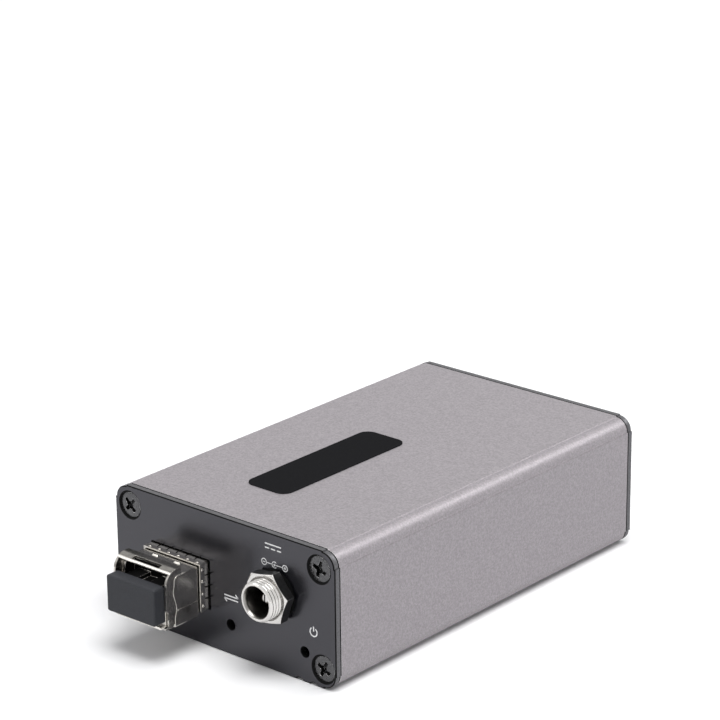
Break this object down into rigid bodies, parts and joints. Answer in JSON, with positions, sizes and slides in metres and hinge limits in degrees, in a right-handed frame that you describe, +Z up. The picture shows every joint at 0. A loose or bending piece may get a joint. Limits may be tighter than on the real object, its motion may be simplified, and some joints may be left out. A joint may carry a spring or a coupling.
{
  "type": "usb fibre extender",
  "caption": "Small metal box that carries a serial bus over fibre: a plug-in fibre module in a cage, a threaded power socket and lamps at the front, a bus socket at the back.",
  "frame": {"origin": "middle of the underside", "axes": "+Z up; -Y is the front with the fibre module and the power socket; +X is to the right seen from the front"},
  "size_m": [0.056, 0.105, 0.0277],
  "materials": {
    "grey_anodised": "fine blasted and anodised",
    "black_anodised": "satin black",
    "black_screw": "black oxide, low gloss",
    "black_badge": "bare satin film",
    "board_laminate": "green solder resist",
    "cage_steel": "nickel plated sheet",
    "dark_nickel": "dark nickel plate",
    "bright_nickel": "bright nickel plate",
    "gold_contact": "gold flash",
    "black_moulding": "moulded black",
    "chip_moulding": "moulded epoxy",
    "can_aluminium": "bright can",
    "ceramic": "fired ceramic",
    "lamp_resin": "clear tinted resin",
    "plug_rubber": "soft matt rubber"
  },
  "bodies": {
    "housing": {"housing_extrusion": "grey_anodised", "front_plate": "black_anodised", "rear_plate": "black_anodised", "front_screws": "black_screw", "rear_screws": "black_screw", "top_label": "black_badge", "circuit_board": "board_laminate", "module_cage": "cage_steel", "cage_spring_fingers": "cage_steel", "cage_connector": "black_moulding", "connector_tails": "gold_contact", "jack_barrel": "bright_nickel", "jack_nut": "bright_nickel", "jack_washer": "black_screw", "jack_body": "black_moulding", "jack_pin": "bright_nickel", "jack_contacts": "bright_nickel", "link_lamp": "lamp_resin", "power_lamp": "lamp_resin", "usb_shell": "bright_nickel", "usb_tongue": "black_moulding", "usb_contacts": "gold_contact", "bridge_chip": "chip_moulding", "hub_chip": "chip_moulding", "memory_chip": "chip_moulding", "crystals": "bright_nickel", "power_inductors": "chip_moulding", "bulk_capacitors": "can_aluminium", "chip_capacitors": "ceramic"},
    "module": {"module_base": "dark_nickel", "module_cover": "dark_nickel", "module_board": "board_laminate", "module_edge_contacts": "gold_contact", "driver_chip": "chip_moulding", "transmitter_barrel": "bright_nickel", "receiver_barrel": "bright_nickel", "flex_leads": "gold_contact"},
    "plug": {"dust_plug": "plug_rubber"},
    "bail": {"bail_latch": "dark_nickel"},
    "slider": {"release_strip": "dark_nickel"}
  },
  "joints": [
    {"name": "module_slide", "type": "slide", "parent": "housing", "child": "module", "axis": [0, -1, 0], "range_m": [0, 0.05]},
    {"name": "dust_plug_pull", "type": "slide", "parent": "module", "child": "plug", "axis": [0, -1, 0], "range_m": [0, 0.03]},
    {"name": "bail_swing", "type": "hinge", "parent": "module", "child": "bail", "pos_m": [-0.011, -0.05545, 0.008], "axis": [1, 0, 0], "range_deg": [0, 90]},
    {"name": "release_slide", "type": "slide", "parent": "module", "child": "slider", "axis": [0, 1, 0], "range_m": [0, 0.0015]}
  ],
  "couplings": [
    {"joint": "bail_swing", "follows": "dust_plug_pull", "rad_per_m": 52.3},
    {"joint": "release_slide", "follows": "dust_plug_pull", "ratio": 0.0495}
  ]
}
